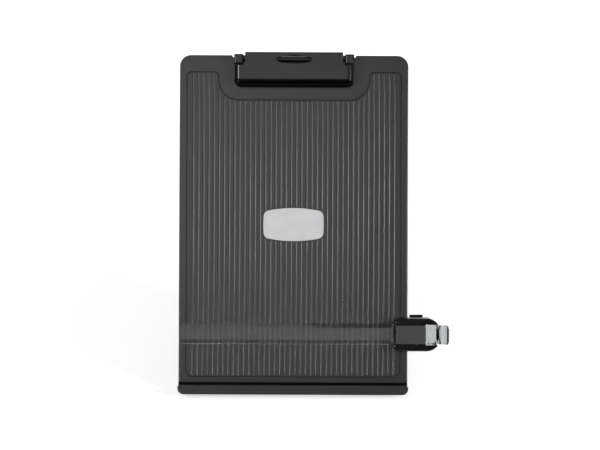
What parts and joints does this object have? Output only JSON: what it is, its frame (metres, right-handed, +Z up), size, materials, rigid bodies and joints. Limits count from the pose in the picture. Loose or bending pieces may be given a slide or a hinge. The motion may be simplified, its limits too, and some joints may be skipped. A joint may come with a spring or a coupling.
{
  "type": "copy holder with line guide",
  "caption": "Desktop copy holder: ribbed board on a folding easel leg, spring clip at the top, paper trough at the bottom and a sliding line guide on one edge.",
  "frame": {"origin": "centre of the rubber strip's flat underside, on the desk", "axes": "+X to the viewer's right, +Y away from the viewer, +Z up; the board leans back 20 degrees"},
  "size_m": [0.2602, 0.1371, 0.3143],
  "materials": {
    "board_plastic": "satin black moulding",
    "clip_plastic": "satin black moulding",
    "carriage_plastic": "glossy black moulding",
    "cap_plastic": "fine-grained dark grey",
    "clear_plastic": "clear acrylic",
    "badge_metal": "matt silver",
    "rubber": "matt black",
    "steel": "bright steel",
    "foam_tape": "thin adhesive pad"
  },
  "bodies": {
    "board": {"board_shell": "board_plastic", "badge_tape": "foam_tape", "badge_plate": "badge_metal", "paper_ledge": "board_plastic", "edge_strip": "rubber", "clip_base": "clip_plastic", "clip_pin": "steel", "leg_pin": "steel", "clip_springs": "steel", "clip_screws": "steel"},
    "clip": {"clip_jaw": "clip_plastic", "grip_pad": "rubber"},
    "guide_carriage": {"carriage_housing": "carriage_plastic", "carriage_back": "carriage_plastic", "carriage_screws": "steel", "friction_leaf": "steel", "guide_pin": "steel", "guide_spring": "steel"},
    "line_guide": {"line_ruler": "clear_plastic", "rocker_cap": "cap_plastic"},
    "stand_leg": {"easel_leg": "board_plastic", "leg_foot": "rubber"}
  },
  "joints": [
    {"name": "clip_hinge", "type": "hinge", "parent": "board", "child": "clip", "pos_m": [0, 0.09854, 0.30685], "axis": [-1, 0, 0], "range_deg": [0, 30], "stiffness_Nm_per_rad": 0.25, "springref_deg": -45.84},
    {"name": "guide_travel", "type": "slide", "parent": "board", "child": "guide_carriage", "axis": [0, 0.342, 0.9397], "range_m": [-0.03, 0.225]},
    {"name": "guide_tilt", "type": "hinge", "parent": "guide_carriage", "child": "line_guide", "pos_m": [0.1194, 0.00838, 0.05767], "axis": [0, 0.342, 0.9397], "range_deg": [0, 15], "stiffness_Nm_per_rad": 0.02, "springref_deg": -28.65},
    {"name": "leg_hinge", "type": "hinge", "parent": "board", "child": "stand_leg", "pos_m": [0, 0.07832, 0.21503], "axis": [-1, 0, 0], "range_deg": [0, 30]}
  ]
}
